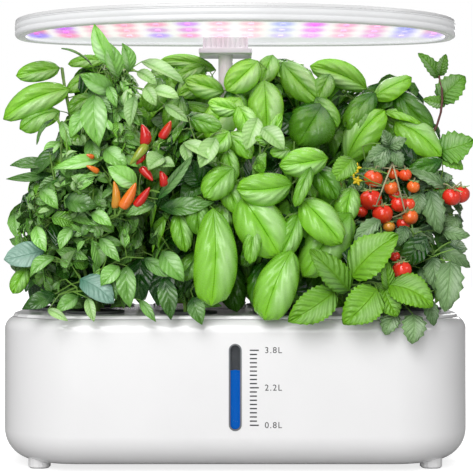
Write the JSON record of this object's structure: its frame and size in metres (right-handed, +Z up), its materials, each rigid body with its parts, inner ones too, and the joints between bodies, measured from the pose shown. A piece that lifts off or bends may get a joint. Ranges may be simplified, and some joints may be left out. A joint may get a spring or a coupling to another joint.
{
  "type": "countertop hydroponic garden",
  "caption": "Countertop hydroponic garden: rounded white water tank with a level gauge, a planted lid with lift-out pods and a grow lamp on a telescopic pole.",
  "frame": {"origin": "on the table under the middle of the tank and lamp", "axes": "+Z up, front with the level gauge towards -Y, +X to the right seen from the front"},
  "size_m": [0.3967, 0.2323, 0.37],
  "materials": {
    "white_gloss": "glossy",
    "white_satin": "satin",
    "pole_metal": "satin",
    "clear_plastic": "clear",
    "dark_plastic": "matte",
    "blue_float": "glossy",
    "rubber": "matte",
    "circuit_board": "satin",
    "steel": "satin",
    "basket_plastic": "matte",
    "sponge": "porous",
    "foliage": "leafy"
  },
  "bodies": {
    "base": {"tank_shell": "white_gloss", "foot_front_left": "white_gloss", "foot_back_left": "white_gloss", "foot_front_right": "white_gloss", "foot_back_right": "white_gloss", "gauge_window": "clear_plastic", "gauge_seal": "rubber", "float_chamber": "dark_plastic", "pump_housing": "dark_plastic", "pump_cover": "dark_plastic", "riser_hose": "clear_plastic"},
    "float": {"gauge_float": "blue_float"},
    "impeller": {"pump_impeller": "white_satin"},
    "deck": {"deck_panel": "white_gloss", "dc_inlet": "dark_plastic", "board_cover": "white_satin", "driver_board": "circuit_board", "pole_socket": "white_satin", "socket_screw_left": "steel", "socket_screw_right": "steel", "pole_outer": "pole_metal", "pole_collar": "white_satin", "basket_front_1": "basket_plastic", "sponge_front_1": "sponge", "plant_front_1": "foliage", "basket_back_1": "basket_plastic", "sponge_back_1": "sponge", "plant_back_1": "foliage", "basket_back_2": "basket_plastic", "sponge_back_2": "sponge", "plant_back_2": "foliage", "basket_back_3": "basket_plastic", "sponge_back_3": "sponge", "plant_back_3": "foliage", "basket_back_4": "basket_plastic", "sponge_back_4": "sponge", "plant_back_4": "foliage"},
    "flap": {"fill_cap": "white_gloss"},
    "mode_button": {"mode_button": "white_satin"},
    "pump_button": {"pump_button": "white_satin"},
    "lamp": {"pole_inner": "pole_metal", "lamp_connector": "clear_plastic", "lamp_rim": "clear_plastic", "led_board": "white_satin", "lamp_cover": "white_gloss"},
    "pod_front_2": {"basket_front_2": "basket_plastic", "sponge_front_2": "sponge", "plant_front_2": "foliage"},
    "pod_front_3": {"basket_front_3": "basket_plastic", "sponge_front_3": "sponge", "plant_front_3": "foliage"},
    "pod_front_4": {"basket_front_4": "basket_plastic", "sponge_front_4": "sponge", "plant_front_4": "foliage"},
    "pod_end_1": {"basket_end_1": "basket_plastic", "sponge_end_1": "sponge", "plant_end_1": "foliage"},
    "pod_end_2": {"basket_end_2": "basket_plastic", "sponge_end_2": "sponge", "plant_end_2": "foliage"}
  },
  "joints": [
    {"name": "deck_lift", "type": "slide", "parent": "base", "child": "deck", "axis": [0, 0, 1], "range_m": [0, 0.1]},
    {"name": "mast_slide", "type": "slide", "parent": "deck", "child": "lamp", "axis": [0, 0, 1], "range_m": [0, 0.1]},
    {"name": "float_slide", "type": "slide", "parent": "base", "child": "float", "axis": [0, 0, 1], "range_m": [-0.0432, 0.0155]},
    {"name": "impeller_spin", "type": "hinge", "parent": "base", "child": "impeller", "pos_m": [0, -0.0112, 0.0243], "axis": [0, 1, 0], "continuous": true},
    {"name": "flap_hinge", "type": "hinge", "parent": "deck", "child": "flap", "pos_m": [-0.052, 0.015, 0.1263], "axis": [-1, 0, 0], "range_deg": [0, 100]},
    {"name": "mode_press", "type": "slide", "parent": "deck", "child": "mode_button", "axis": [0, 0, -1], "range_m": [0, 0.0008], "stiffness_N_per_m": 1500, "springref_m": -0.0003},
    {"name": "pump_press", "type": "slide", "parent": "deck", "child": "pump_button", "axis": [0, 0, -1], "range_m": [0, 0.0008], "stiffness_N_per_m": 1500, "springref_m": -0.0003},
    {"name": "pod_front_2_lift", "type": "slide", "parent": "deck", "child": "pod_front_2", "axis": [0, 0, 1], "range_m": [0, 0.055]},
    {"name": "pod_front_3_lift", "type": "slide", "parent": "deck", "child": "pod_front_3", "axis": [0, 0, 1], "range_m": [0, 0.055]},
    {"name": "pod_front_4_lift", "type": "slide", "parent": "deck", "child": "pod_front_4", "axis": [0, 0, 1], "range_m": [0, 0.055]},
    {"name": "pod_end_1_lift", "type": "slide", "parent": "deck", "child": "pod_end_1", "axis": [0, 0, 1], "range_m": [0, 0.055]},
    {"name": "pod_end_2_lift", "type": "slide", "parent": "deck", "child": "pod_end_2", "axis": [0, 0, 1], "range_m": [0, 0.055]}
  ]
}
